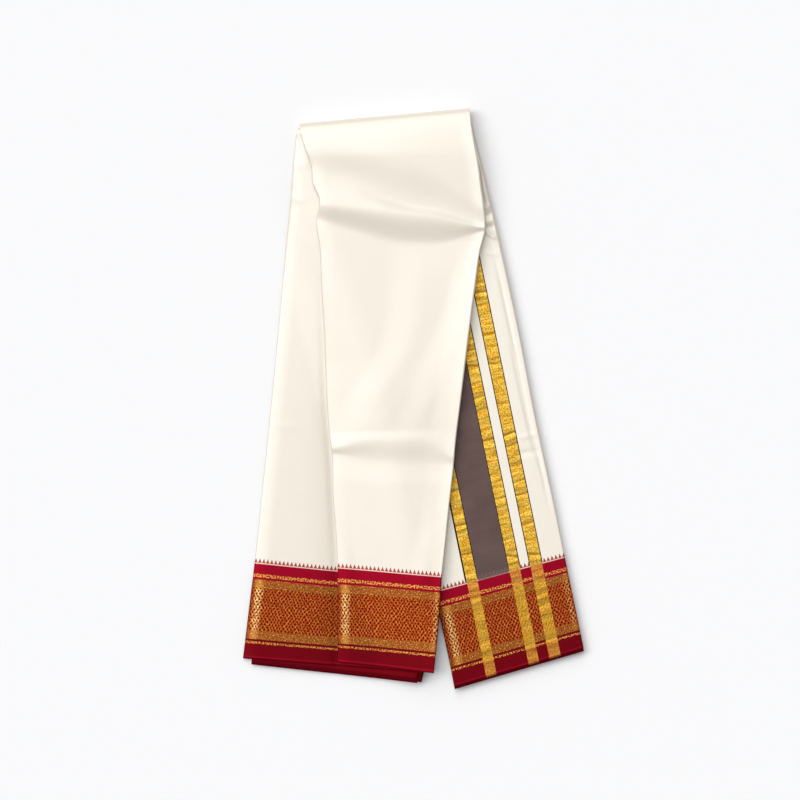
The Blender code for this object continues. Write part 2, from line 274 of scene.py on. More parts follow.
def tuck_height(x, y, tucks):
    """Height that the tucks add at many places, eased from each of their lines to the next."""
    height = np.zeros_like(x)
    for _, *lines in tucks:
        rows = []
        top_line = np.array(lines[0][0])
        place = (x - top_line[0, 0]) / (top_line[-1, 0] - top_line[0, 0])
        for points, rises in lines:
            points = np.array(points)
            rows.append((through(x, points[:, 0], points[:, 1]), through(place, (0, 0.5, 1), rises)))
        height += np.where(y > rows[0][0], rows[0][1], 0)
        for (upper_y, upper_rise), (lower_y, lower_rise) in zip(rows, rows[1:]):
            between = (y <= upper_y) & (y > lower_y)
            ease = smooth((upper_y - y) / np.maximum(upper_y - lower_y, 1e-6))
            height += between * (upper_rise + (lower_rise - upper_rise) * ease)
    return height


def step_height(x, y, steps):
    """Height of slopes that climb to the right across a line."""
    height = np.zeros_like(x)
    for _, points, width, rise, window in steps:
        points = np.array(points)
        line_x = through(y, points[:, 1], points[:, 0])
        height += rise * smooth((x - line_x) / (2 * width) + 0.5) * through(y, *window)
    return height


print(len(FRONT_TUCKS), "tucks,", len(FRONT_CREASES), "creases and", len(FRONT_STEPS), "steps at the front")

# %% [markdown]
# ## One layer of cloth
#
# Every layer takes the same way: along the front half, round the top fold, and along the back half, and both
# of its side edges roll over the layers inside. A layer could be a path of sections in a curve, but cloth
# wants a grid with its own map, because weave and border follow the threads. So a grid primitive is added for
# each layer, and its points are moved to their places by this function. Solidify then gives it its thickness.

# %% Lay a grid along a strip
CLOTH = 0.7
CREST_START = 14.8  # the front half begins to bend down this far before the fold
CREST_RADIUS = 95.0
OUTER_DISTANCE = 10.5
SHOULDER_WIDTH = 16.0
HEM_PULL = 60.0  # length over which a row turns to lie along its own askew hem
NEAR_FOLD = 12.0  # the side rolls open over this length before the top fold
FADE_TO_FOLD = 48.0  # the creases fade over this length before the top fold
LEFT_AT_FOLD = 0.22
TABLE_GAP = 0.05
FOLD_START_PULL = 5.5  # how far the slack curve of the top fold keeps each of its end directions
FOLD_END_PULL = 4.8
EDGE_CROWDING = 0.7  # share of the columns' spacing that is finer towards the side edges


def wander(along, seed, reach):
    """A small drift of an edge, the same each run."""
    waves = [math.sin(seed * 7.3 + k * 2.1) for k in range(4)]
    return reach * sum(w * np.sin(along / (23.0 + 17 * k) + seed * (k + 1)) for k, w in enumerate(waves))


def fold_profile(share, away):
    """Reach and height of a layer round the fold: a slack curve above, a half circle below."""
    t = np.clip(share * 2, 0, 1)
    drop = CREST_RADIUS - math.sqrt(CREST_RADIUS**2 - CREST_START**2)
    lean = math.asin(CREST_START / CREST_RADIUS)
    start = np.array((0.0, OUTER_DISTANCE - drop))
    first = start + FOLD_START_PULL * np.array((math.cos(lean), -math.sin(lean)))
    second, end = np.array((OUTER_DISTANCE, FOLD_END_PULL)), np.array((OUTER_DISTANCE, 0.0))
    weights = ((1 - t) ** 3, 3 * t * (1 - t) ** 2, 3 * t**2 * (1 - t), t**3)
    reach, rise = (sum(w * p[axis] for w, p in zip(weights, (start, first, second, end))) for axis in (0, 1))
    lower = share > 0.5
    reach = np.where(lower, away * np.sin(share * math.pi), reach * away / OUTER_DISTANCE)
    return reach, np.where(lower, away * np.cos(share * math.pi), rise * away / OUTER_DISTANCE)


def shoulder(distance_in, height):
    """How far a layer has sunk near a folded edge, where the layers inside it end."""
    return height * np.clip(1 - distance_in / SHOULDER_WIDTH, 0, 1) ** 2


def strip_points(across, along, layer):
    """Places of a layer's grid: across and along are shares from 0 to 1, and layer says which layer it is."""
    front_table, distance, roll = layer["front_table"], layer["distance"], layer["roll"]
    front_length = stations(front_table)[-1]
    turn_length = math.pi * max(distance, 1.0)
    fine, fold, coarse = layer["rows"]
    rows = along * (fine + fold + coarse)
    front_share = np.clip(rows / fine, 0, 1)
    fold_share = np.clip((rows - fine) / fold, 0, 1)
    back_share = np.clip((rows - fine - fold) / coarse, 0, 1)
    in_back, in_fold = rows > fine + fold, (rows > fine) & (rows <= fine + fold)
    front_at = front_share * front_length
    back_at = BACK_LENGTH * (1 - back_share)
    in_front_ends = edge_rows(front_table, front_at)
    in_front_ends += (np.array(FOLD_ROW) - in_front_ends) * (in_fold * fold_share)[:, None]
    ends = np.where(in_back[:, None], edge_rows(BACK_EDGES, back_at), in_front_ends)
    # Hems that lie askew: the row turns a little near its hem.
    to_front_hem = np.where(in_back | in_fold, FAR, front_at)
    to_back_hem = np.where(in_back, back_at, FAR)
    for name, place in (("front_hem", to_front_hem), ("back_hem", to_back_hem)):
        pull = np.clip(1 - place / HEM_PULL, 0, 1)
        left_shift, right_shift = layer.get(name, (0.0, 0.0))
        ends[:, 1] += pull * left_shift
        ends[:, 3] += pull * right_shift
    axis = ends[:, 2:] - ends[:, :2]
    width = np.linalg.norm(axis, axis=1)
    axis /= width[:, None]
    # Side edges: a quarter circle, which opens towards the top fold.
    near_fold = smooth(1 - (front_length - front_at) / NEAR_FOLD) * ~in_back
    near_fold = np.where(in_back, smooth(1 - (BACK_LENGTH - back_at) / NEAR_FOLD), near_fold)
    left_inset, right_inset = layer.get("front_inset", (0.0, 0.0))
    back_left, back_right = layer.get("back_inset", (0.0, 0.0))
    part = np.where(in_back, 1.0, np.where(in_fold, fold_share, 0.0))
    seed, drift = layer["seed"], layer["drift"]
    left = left_inset * (1 - part) + back_left * part + wander(rows * 1.3, seed, drift)
    right = right_inset * (1 - part) + back_right * part + wander(rows * 1.3, seed + 3, drift)
    bend = np.maximum(1 - near_fold, 0.02)
    radius, turn = roll / bend, bend * math.pi / 2
    flat_start = radius * np.sin(turn)
    roll_length = roll * math.pi / 2
    flat_width = width - left - right - 2 * flat_start
    whole = flat_width + 2 * roll_length
    run = across * whole
    left_angle = np.clip(roll_length - run, 0, None) / radius
    right_angle = np.clip(run - roll_length - flat_width, 0, None) / radius
    inset = left + flat_start + np.clip(run - roll_length, 0, flat_width)
    inset = inset - radius * np.sin(left_angle) + radius * np.sin(right_angle)
    drop = radius * (1 - np.cos(left_angle)) + radius * (1 - np.cos(right_angle))
    level = np.cos(left_angle) * np.cos(right_angle)
    left_sink, right_sink = layer.get("shoulders", (0.0, 0.0))
    drop += bend * (shoulder(inset - left, left_sink) + shoulder(width - right - inset, right_sink))
    # Places in the plan, and heights by the distance from the middle plane.
    x = ends[:, 0] + axis[:, 0] * inset
    y = ends[:, 1] + axis[:, 1] * inset
    away = distance - drop if not layer.get("faces_in") else distance + drop
    in_front = ~in_back & ~in_fold
    lift = ground(x, y, layer["upper"]) + away
    if layer.get("creases"):
        relief = crease_height(x, y, layer["creases"]) + tuck_height(x, y, layer.get("tucks", ()))
        relief += step_height(x, y, layer.get("steps", ()))
        to_fold = smooth((front_length - front_at) / FADE_TO_FOLD + LEFT_AT_FOLD)
        lift += layer.get("crease_share", 1.0) * level * to_fold * relief * in_front
    past_crest = np.clip(front_at - front_length + CREST_START, 0, CREST_START)
    lift -= (CREST_RADIUS - np.sqrt(CREST_RADIUS**2 - past_crest**2)) * distance / OUTER_DISTANCE
    reach, rise = fold_profile(fold_share, away)
    floor_side = MIDDLE_HEIGHT - away
    if layer.get("faces_in"):
        floor_side += crease_height(x, y, layer["inner_creases"]) * level
    # Nothing goes below the table: where it rests, the cloth is pressed flat.
    z = np.where(in_front, lift, np.where(in_back, floor_side, MIDDLE_HEIGHT + rise))
    z = np.maximum(z, TABLE_GAP)
    reach = np.where(in_fold, reach, 0.0)
    x -= axis[:, 1] * reach
    y += axis[:, 0] * reach
    # Distance to the nearer hem along the cloth, for the map of its threads.
    hem_front = front_at + np.where(in_back | in_fold, turn_length * fold_share, 0)
    hem_back = np.where(in_back, back_at, BACK_LENGTH + turn_length * (1 - fold_share))
    from_hem = np.where(in_back | (fold_share > 0.5), hem_back, hem_front)
    return x, y, z, run, whole - run, from_hem


def lay_cloth(name, layer):
    """Add a grid, lay it along the strip, and give it its thickness."""
    bpy.ops.object.select_all(action="DESELECT")
    rows = sum(layer["rows"])
    bpy.ops.mesh.primitive_grid_add(x_subdivisions=layer["columns"], y_subdivisions=rows, size=1)
    cloth = bpy.context.object
    cloth.name = name
    mesh = cloth.data
    mesh.name = name
    flat = np.empty(len(mesh.vertices) * 3)
    mesh.vertices.foreach_get("co", flat)
    flat = flat.reshape(-1, 3)
    across, along = flat[:, 0] + 0.5, flat[:, 1] + 0.5
    # More columns near the two side edges, where the cloth rolls over.
    across = (1 - EDGE_CROWDING) * across + EDGE_CROWDING * (0.5 - 0.5 * np.cos(across * math.pi))
    x, y, z, run, left_over, from_hem = strip_points(across, along, layer)
    places = np.stack([x - PLAN_CENTRE[0], y - PLAN_CENTRE[1], z], axis=1) / 1000
    mesh.vertices.foreach_set("co", places.ravel())
    corners = np.empty(len(mesh.loops), np.int64)
    mesh.loops.foreach_get("vertex_index", corners)
    threads = layer["threads"](x, y, run) if "threads" in layer else run
    mesh.uv_layers[0].name = "threads"
    thread_map = np.stack([threads[corners], from_hem[corners]], axis=1) / 1000
    mesh.uv_layers[0].data.foreach_set("uv", thread_map.ravel())
    edges = mesh.uv_layers.new(name="edges")
    edge_map = np.stack([run[corners], left_over[corners]], axis=1) / 1000
    edges.data.foreach_set("uv", edge_map.ravel())
    mesh.shade_smooth()
    wall = cloth.modifiers.new("wall", "SOLIDIFY")
    wall.thickness = layer["wall"] / 1000
    wall.offset = 1 if layer.get("faces_in") else -1
    wall.use_even_offset = True
    bpy.ops.object.modifier_apply(modifier="wall")
    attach(cloth, "root")
    print(name, len(mesh.vertices), "points")
    return cloth


# %% [markdown]
# ## The stretches that show
#
# Three layers of the one cloth show: the front stretch that also goes round the top fold and lies underneath,
# the left stretch one fold deeper, and the end piece on the back half, which carries the gold stripes. The
# threads of the end piece are counted from its first stripe, so that the stripes run straight.

# %% Front stretch
front = lay_cloth("front_stretch", {
    "front_table": FRONT_EDGES, "distance": OUTER_DISTANCE, "roll": 1.2, "shoulders": (1.5, -1.2),
    "upper": 1, "wall": CLOTH, "seed": 1.0, "drift": 0.0, "columns": 90, "rows": (360, 20, 60),
    "creases": FRONT_CREASES, "tucks": FRONT_TUCKS, "steps": FRONT_STEPS,
})

# %% Left stretch
BESIDE_FRONT = [(row[0] - 1.5, row[1]) for row in FRONT_EDGES[:10]]
LEFT_CREASES = (
    ("gap beside the front", ((-87.5, -560.0), *BESIDE_FRONT, (-107.0, 210.0)), 3.0, -0.8),
    ("low hollow", ((-84.0, -400.0), (-82.0, -195.0), (-84.0, -100.0), (-92.0, 30.0)), 34, -0.8),
    (
        "beside the front",
        ((-85.0, -420.0), (-85.0, -250.0), (-88.0, -100.0), (-98.0, 90.0), (-103.0, 190.0), (-112.0, 290.0)),
        14, -0.9,
    ),
    ("upper tick", ((-139.0, 260.5), (-117.0, 268.5)), 4, 0.25),
    ("lower tick", ((-142.0, 229.5), (-123.0, 222.0)), 4, 0.25),
    ("faint crease", ((-164.0, -30.0), (-130.0, -34.0)), 4, 0.15),
)
left = lay_cloth("left_stretch", {
    "front_table": LEFT_EDGES, "distance": 6.05, "roll": 1.5, "shoulders": (1.7, 0.4),
    "upper": 0, "wall": CLOTH, "seed": 2.0, "drift": 0.15, "columns": 80, "rows": (250, 14, 40),
    "front_inset": (0.0, 0.8), "back_inset": (2.0, 2.0), "front_hem": (0.0, 2.0), "creases": LEFT_CREASES,
})

# %% End piece
STRIPE_END = (142.2, -161.3)
STRIPES_WIDTH = 91.2
STRIPE_LEAN = math.atan(0.205)


def stripe_threads(x, y, run):
    """Distance to the right of the first black line, square to the stripes."""
    right = (x - STRIPE_END[0]) * math.cos(STRIPE_LEAN) + (y - STRIPE_END[1]) * math.sin(STRIPE_LEAN)
    return right + STRIPES_WIDTH


END_CREASES = (
    (
        "layer line",
        ((86.0, 190.0), (100.0, 130.0), (115.0, 60.0), (131.0, -20.0), (148.0, -90.0), (160.0, -150.0)),
        2.2, -0.5,
    ),
    ("second line", ((108.0, 75.0), (126.0, -10.0), (142.0, -80.0)), 1.6, -0.35),
    ("cross crease", ((118.0, -47.0), (143.0, -41.0)), 2.0, 0.35),
    ("low cross crease", ((113.0, -66.0), (146.0, -60.0)), 3.0, -0.4),
    ("upper cross crease", ((80.0, 167.0), (98.0, 161.0)), 1.6, 0.35),
    ("top gather", ((79.0, 214.0), (92.0, 222.0)), 1.8, 1.0),
    ("second gather", ((79.0, 205.0), (93.0, 212.0)), 1.8, -0.9),
    ("third gather", ((80.0, 199.0), (95.0, 203.0)), 1.6, 1.0),
    ("fourth gather", ((80.0, 193.0), (94.0, 195.0)), 1.6, -0.8),
    ("low gather", ((81.0, 190.0), (97.0, 180.0)), 1.8, 0.9),
    ("side fold", ((76.0, 275.0), (82.0, 235.0), (88.0, 210.0)), 2.4, 1.0),
)
end_piece = lay_cloth("end_piece", {
    "front_table": LEFT_EDGES, "distance": 0.2, "roll": 0.5, "shoulders": (0.0, 0.0),
    "upper": 0, "wall": CLOTH, "seed": 5.0, "drift": 0.15, "columns": 90, "rows": (40, 10, 260),
    "faces_in": True, "front_inset": (3.0, 4.0), "back_inset": (0.5, 0.7),
    "inner_creases": END_CREASES, "threads": stripe_threads,
})

# %% [markdown]
# ## Hidden layers
#
# Between them lie the other folds of the strip. Only their edges show, at the sides, the hems and the ends of
# the top fold, so each is a plain narrow-rolled layer whose edges drift a little and whose hems lie askew.
# Five folds stand for all of them.

# %% Hidden folds
HIDDEN_FOLDS = (
    # name, table, distance, front insets, back insets, front hem shifts, back hem shifts, share of the relief
    ("fold_1", FRONT_EDGES, 9.3, (1.2, 1.2), (0.4, 0.4), (-0.2, -0.2), (-1.8, -1.8), 0.85),
    ("fold_2", FRONT_EDGES, 8.0, (1.4, 0.6), (0.8, 0.2), (0.6, 0.4), (-2.6, -2.4), 0.7),
    ("fold_3", LEFT_EDGES, 4.9, (9.5, 5.5), (0.6, 0.2), (-5.8, -10.4), (-2.2, -2.0), 0.85),
    ("fold_4", LEFT_EDGES, 3.6, (3.0, 1.0), (0.4, 1.0), (8.0, -7.0), (-1.6, -1.4), 0.6),
    ("fold_5", LEFT_EDGES, 2.3, (5.0, 0.4), (0.8, 0.3), (5.0, -9.2), (-2.4, -2.8), 0.3),
)
hidden = []
for count, row in enumerate(HIDDEN_FOLDS):
    name, table, distance, front_inset, back_inset, front_hem, back_hem, share = row
    outer = table is FRONT_EDGES
    hidden.append(lay_cloth(name, {
        "front_table": table, "distance": distance, "roll": 0.7,
        "shoulders": (0.18 * distance, 0.14 * distance), "upper": 1 if outer else 0, "wall": 0.9,
        "seed": 11.0 + 2.7 * count, "drift": 0.3, "columns": 24, "rows": (110, 14, 110),
        "front_inset": front_inset, "back_inset": back_inset, "front_hem": front_hem, "back_hem": back_hem,
        "creases": FRONT_CREASES if outer else LEFT_CREASES, "crease_share": share,
        "tucks": FRONT_TUCKS if outer else (), "steps": FRONT_STEPS if outer else (),
    }))

# %% What each layer stands for
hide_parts("front_panel", "front_border", "back_sheet")
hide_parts("left_panel", "left_border")
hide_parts("pallu_panel", "pallu_border")
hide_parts("outer_layers")
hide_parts("inner_layers")
print("layers:", 3 + len(hidden))

# %% [markdown]
# ## Node helpers
#
# Each effect is a small group of maths nodes with named sockets, built once. A helper adds a node and joins
# it up, so that a group reads like a formula.


# %% Helpers for node groups
class Chart:
    """Adds nodes to one node tree, each line like a step of a formula."""

    def __init__(self, tree):
        self.tree = tree

    def put(self, socket, value):
        """Join a socket to another, or give it a value."""
        if isinstance(value, bpy.types.NodeSocket):
            self.tree.links.new(value, socket)
        else:
            socket.default_value = value

    def math(self, operation, first, second=0.0, third=0.0, clamp=False):
        """One maths node."""
        node = self.tree.nodes.new("ShaderNodeMath")
        node.operation = operation
        node.use_clamp = clamp
        for socket, value in zip(node.inputs, (first, second, third)):
            self.put(socket, value)
        return node.outputs[0]

    def mix(self, factor, first, second):
        """The first colour where the factor is 0, the second where it is 1."""
        node = self.tree.nodes.new("ShaderNodeMix")
        node.data_type = "RGBA"
        self.put(node.inputs["Factor"], factor)
        self.put(node.inputs[6], first)
        self.put(node.inputs[7], second)
        return node.outputs[2]

    def noise(self, vector, scale, detail=2.0, roughness=0.5):
        """Noise around 0.5."""
        node = self.tree.nodes.new("ShaderNodeTexNoise")
        self.put(node.inputs["Vector"], vector)
        node.inputs["Scale"].default_value = scale
        node.inputs["Detail"].default_value = detail
        node.inputs["Roughness"].default_value = roughness
        return node.outputs["Fac"]

    def stretch(self, vector, scale):
        """A vector scaled on each axis, so that noise runs along or across the threads."""
        node = self.tree.nodes.new("ShaderNodeVectorMath")
        node.operation = "MULTIPLY"
        self.put(node.inputs[0], vector)
        node.inputs[1].default_value = scale
        return node.outputs[0]

    def join(self, first, second):
        """A vector from two values."""
        node = self.tree.nodes.new("ShaderNodeCombineXYZ")
        self.put(node.inputs[0], first)
        self.put(node.inputs[1], second)
        return node.outputs[0]

    def split(self, vector):
        """Two values from a vector."""
        node = self.tree.nodes.new("ShaderNodeSeparateXYZ")
        self.put(node.inputs[0], vector)
        return node.outputs[0], node.outputs[1]

    def between(self, value, low, high, soft=0.00012):
        """1 where a value lies between two limits, with a soft edge."""
        rise = self.math("MULTIPLY_ADD", self.math("SUBTRACT", value, low), 1 / soft, 0.5, clamp=True)
        fall = self.math("MULTIPLY_ADD", self.math("SUBTRACT", high, value), 1 / soft, 0.5, clamp=True)
        return self.math("MULTIPLY", rise, fall)

    def most(self, *values):
        """The greatest of some values."""
        top = values[0]
        for value in values[1:]:
            top = self.math("MAXIMUM", top, value)
        return top


def new_group(name, inputs, outputs):
    """A node group with named sockets, and the chart to draw it with."""
    tree = bpy.data.node_groups.new(name, "ShaderNodeTree")
    for socket_name, kind, default in inputs:
        socket = tree.interface.new_socket(socket_name, in_out="INPUT", socket_type=kind)
        if default is not None:
            socket.default_value = default
    for socket_name, kind in outputs:
        tree.interface.new_socket(socket_name, in_out="OUTPUT", socket_type=kind)
    start, end = tree.nodes.new("NodeGroupInput"), tree.nodes.new("NodeGroupOutput")
    return tree, Chart(tree), start.outputs, end.inputs


COLOUR, VALUE, VECTOR = "NodeSocketColor", "NodeSocketFloat", "NodeSocketVector"

# %% [markdown]
# ## Plain silk weave
#
# The body is plain weave: fine warp threads along the cloth's length and weft threads across it, with slubs
# where a thread is thicker. Two crossed waves give the threads their relief, and stretched noise gives the
# slubs and the slight streaks of sheen that run along the threads.

# %% Weave group
weave, chart, given, result = new_group(
    "silk_weave",
    [("Threads", VECTOR, None), ("Pitch", VALUE, 0.0005)],
    [("Height", VALUE), ("Streaks", VALUE), ("Slubs", VALUE)],
)
across, along = chart.split(given["Threads"])
turns = chart.math("DIVIDE", 2 * math.pi, given["Pitch"])
warp = chart.math("SINE", chart.math("MULTIPLY", across, turns))
weft = chart.math("SINE", chart.math("MULTIPLY", along, turns))
chart.put(result["Height"], chart.math("MULTIPLY_ADD", chart.math("MULTIPLY", warp, weft), 0.5, 0.5))
chart.put(result["Streaks"], chart.noise(chart.stretch(given["Threads"], (900, 14, 1)), 1.0, 3.0))
chart.put(result["Slubs"], chart.noise(chart.stretch(given["Threads"], (16, 700, 1)), 1.0, 3.0))
print("weave group:", len(weave.nodes), "nodes")

# %% [markdown]
# ## The border
#
# From the hem upwards the border is a selvedge painted brighter as a highlight, plain crimson, a row of gold
# dots, a gold band, a wide diamond lattice in gold on crimson, a second gold band, another row of dots, plain
# crimson, and a row of small temple triangles that point into the ivory. It is read from the distance to the
# hem, and the repeats are counted across the cloth. All of these places are in metres.

# %% Border group
SELVEDGE_TOP = 0.0034
LOW_DOTS = (0.0178, 0.0202)
LOW_BAND = (0.0228, 0.0318)
LATTICE = (0.0318, 0.0815)
HIGH_BAND = (0.0815, 0.0905)
HIGH_DOTS = (0.0930, 0.0968)
PINK_LINE = (0.1083, 0.1094)
TRIANGLES = (0.1094, 0.1143)
CRIMSON = (0.275, 0.0014, 0.0150, 1)
DEEP_CRIMSON = (0.152, 0.0006, 0.0052, 1)
SELVEDGE_HIGHLIGHT = (0.25, 0.002, 0.012, 1)
BAND_GOLD = (0.78, 0.40, 0.085, 1)
DOT_GOLD = (0.70, 0.35, 0.06, 1)
BAND_SHADE = (0.205, 0.036, 0.0045, 1)
LATTICE_GOLD = (0.285, 0.036, 0.0035, 1)
LATTICE_GLINT = (0.76, 0.29, 0.050, 1)
LATTICE_GROUND = (0.120, 0.005, 0.002, 1)
# Colour of the painted highlight beside the folded edges.
EDGE_HIGHLIGHT_GOLD = (0.90, 0.62, 0.22, 1)
TRIANGLE_RED = (0.34, 0.055, 0.040, 1)
PINK_THREAD = (0.66, 0.52, 0.44, 1)
IVORY = (0.714, 0.645, 0.537, 1)
LATTICE_WIDE = 0.0040
LATTICE_HIGH = 0.0062
BORDER_TOP = 0.1086
SAW_HALF = 0.0013  # half the width of a tooth of the bands' edge
SAW_DEPTH = 0.0011
TRIANGLE_HALF = 0.00228

border, chart, given, result = new_group(
    "dhoti_border",
    [("Threads", VECTOR, None), ("Edges", VECTOR, None), ("Body Colour", COLOUR, IVORY)],
    [("Colour", COLOUR), ("Gold", VALUE), ("Border", VALUE), ("Height", VALUE)],
)
across, along = chart.split(given["Threads"])
# Painted highlight: beside a folded edge the metal threads are painted brighter, as if they caught more
# light.
# On the rolled edge itself they are painted darker, a painted shade.
from_left, from_right = chart.split(given["Edges"])
edge_highlight_left = chart.math("MULTIPLY", chart.between(from_left, 0.0060, 0.0135, 0.005), 0.6)
edge_highlight_right = chart.math("MULTIPLY", chart.between(from_right, 0.003, 0.007, 0.004), 0.3)
edge_highlight = chart.most(edge_highlight_left, edge_highlight_right)
edge_shade = chart.math("MULTIPLY", chart.between(from_left, -0.01, 0.0048, 0.003), 0.45)
in_border = chart.between(along, -0.01, BORDER_TOP)
crimson = chart.mix(chart.between(along, 0.0, 0.06, 0.01), CRIMSON, DEEP_CRIMSON)
colour = chart.mix(in_border, given["Body Colour"], crimson)
# The selvedge along the hem is painted brighter: a painted highlight.
colour = chart.mix(chart.between(along, -0.001, SELVEDGE_TOP), colour, SELVEDGE_HIGHLIGHT)
# Single threads of the metal catch the light, so painted glints change their brightness from one to the next.
glint = chart.noise(chart.stretch(given["Threads"], (760, 640, 1)), 1.0, 2.0)
# Lattice: two families of slanting threads cross, each with a painted highlight along its middle, and the
# ground shows between.
drift = chart.noise(chart.stretch(given["Threads"], (90, 90, 1)), 1.0, 1.0)
place_across = chart.math("MULTIPLY_ADD", across, 1 / LATTICE_WIDE, chart.math("MULTIPLY", drift, 1.3))
place_along = chart.math("DIVIDE", along, LATTICE_HIGH)
steep = chart.math("ADD", place_across, place_along)
crossing = chart.math("SUBTRACT", place_across, place_along)
strand = chart.join(chart.math("MULTIPLY", steep, 1.7), chart.math("MULTIPLY", crossing, 1.7))
strand = chart.noise(strand, 1.0, 2.0)
strand = chart.math("MULTIPLY_ADD", chart.math("SUBTRACT", strand, 0.5), 8.0, 0.40, clamp=True)
cell = chart.math("MINIMUM", chart.math("PINGPONG", crossing, 0.5), chart.math("PINGPONG", steep, 0.5))
lattice_gold = chart.math("MULTIPLY_ADD", cell, -8.0, 2.3, clamp=True)
ridge = chart.math("MULTIPLY_ADD", cell, -7.0, 1.0, clamp=True)
lit_share = chart.math("MULTIPLY", strand, chart.math("MULTIPLY", ridge, 0.95))
lit_gold = chart.mix(lit_share, LATTICE_GOLD, LATTICE_GLINT)
# Painted highlight beside the folded edges.
edge_highlight_share = chart.math("MULTIPLY", edge_highlight, chart.math("ADD", strand, 0.35), clamp=True)
lit_gold = chart.mix(edge_highlight_share, lit_gold, EDGE_HIGHLIGHT_GOLD)
# Painted shade on the rolled edge.
lit_gold = chart.mix(edge_shade, lit_gold, LATTICE_GROUND)
lattice_colour = chart.mix(lattice_gold, LATTICE_GROUND, lit_gold)
in_lattice = chart.between(along, *LATTICE, 0.0006)
colour = chart.mix(in_lattice, colour, lattice_colour)
# Gold bands: speckled metal thread with a saw edge towards the lattice.
saw_edge = chart.math("PINGPONG", across, SAW_HALF)
low_top = chart.math("SUBTRACT", LOW_BAND[1] + SAW_DEPTH, saw_edge)
high_bottom = chart.math("ADD", HIGH_BAND[0] - SAW_DEPTH, saw_edge)
low_band = chart.between(along, LOW_BAND[0], low_top)
bands = chart.most(low_band, chart.between(along, high_bottom, HIGH_BAND[1]))
band_light = chart.math("MULTIPLY", chart.math("SUBTRACT", glint, 0.53), 5.0, clamp=True)
# Painted highlight beside the folded edges, as on the lattice.
band_light = chart.math("ADD", band_light, chart.math("MULTIPLY_ADD", edge_highlight, 0.45, 0.06), clamp=True)
band_colour = chart.mix(band_light, BAND_SHADE, BAND_GOLD)
# Painted shade on the rolled edge.
band_colour = chart.mix(edge_shade, band_colour, LATTICE_GROUND)
colour = chart.mix(bands, colour, band_colour)
speckle = chart.noise(chart.stretch(given["Threads"], (660, 700, 1)), 1.0, 0.0)
speckle = chart.math("MULTIPLY_ADD", chart.math("SUBTRACT", speckle, 0.52), 7.0, 0.5, clamp=True)
rows_of_dots = chart.most(chart.between(along, *LOW_DOTS, 0.0005), chart.between(along, *HIGH_DOTS, 0.0005))
dots = chart.math("MULTIPLY", rows_of_dots, speckle)
colour = chart.mix(dots, colour, DOT_GOLD)
# Temple triangles narrow as they rise from the pink line.
rise = chart.math("DIVIDE", chart.math("SUBTRACT", along, TRIANGLES[0]), TRIANGLES[1] - TRIANGLES[0])
half = chart.math("DIVIDE", chart.math("PINGPONG", across, TRIANGLE_HALF), TRIANGLE_HALF)
rise = chart.math("POWER", chart.math("MAXIMUM", rise, 0.0), 0.72)
inside = chart.math("MULTIPLY_ADD", chart.math("SUBTRACT", half, rise), 5.0, 0.9, clamp=True)
triangles = chart.math("MULTIPLY", inside, chart.between(along, *TRIANGLES))
colour = chart.mix(chart.between(along, *PINK_LINE), colour, PINK_THREAD)
colour = chart.mix(triangles, colour, TRIANGLE_RED)
pink = chart.most(triangles, chart.between(along, *PINK_LINE))
gold = chart.most(bands, dots, chart.math("MULTIPLY", in_lattice, lattice_gold))
chart.put(result["Colour"], colour)
chart.put(result["Gold"], gold)
chart.put(result["Border"], chart.most(in_border, pink))
chart.put(result["Height"], gold)
print("border group:", len(border.nodes), "nodes")

# %% [markdown]
# ## The stripes of the end piece
#
# The last hand's breadth of the cloth carries three gold stripes with fine black edges. A broad grey stripe
# fills the space between two of them. Metal thread is stiffer than silk, so the gold puckers across its
# length. These places are in metres too, from the first black line.

# %% Stripe group
GOLD_STRIPES = ((0.0019, 0.0141), (0.0521, 0.0644), (0.0767, 0.0901))
GREY_STRIPE = (0.0153, 0.0510)
BLACK_LINES = (
    (0.0, 0.0019), (0.0141, 0.0153), (0.0510, 0.0521), (0.0644, 0.0655), (0.0756, 0.0767), (0.0901, 0.0912),
)
STRIPE_GOLD = (0.50, 0.235, 0.008, 1)
PALE_GOLD = (0.84, 0.58, 0.095, 1)
DARK_GOLD = (0.24, 0.085, 0.004, 1)
PUCKER_PITCH = 0.017
OVER_GOLD = (0.50, 0.245, 0.018, 1)
OVER_CRIMSON = (0.48, 0.145, 0.022, 1)
STRIPE_GREY = (0.103, 0.067, 0.062, 1)
PALE_GREY = (0.130, 0.086, 0.080, 1)
LINE_BLACK = (0.020, 0.013, 0.010, 1)

stripes, chart, given, result = new_group(
    "end_stripes",
    [("Threads", VECTOR, None), ("Colour Under", COLOUR, IVORY), ("Border", VALUE, 0.0)],
    [("Colour", COLOUR), ("Gold", VALUE), ("Dark", VALUE), ("Height", VALUE)],
)
across, along = chart.split(given["Threads"])
gold = chart.most(*[chart.between(across, *limits) for limits in GOLD_STRIPES])
grey = chart.between(across, *GREY_STRIPE)
black = chart.most(*[chart.between(across, *limits) for limits in BLACK_LINES])
on_body = chart.math("SUBTRACT", 1.0, given["Border"], clamp=True)
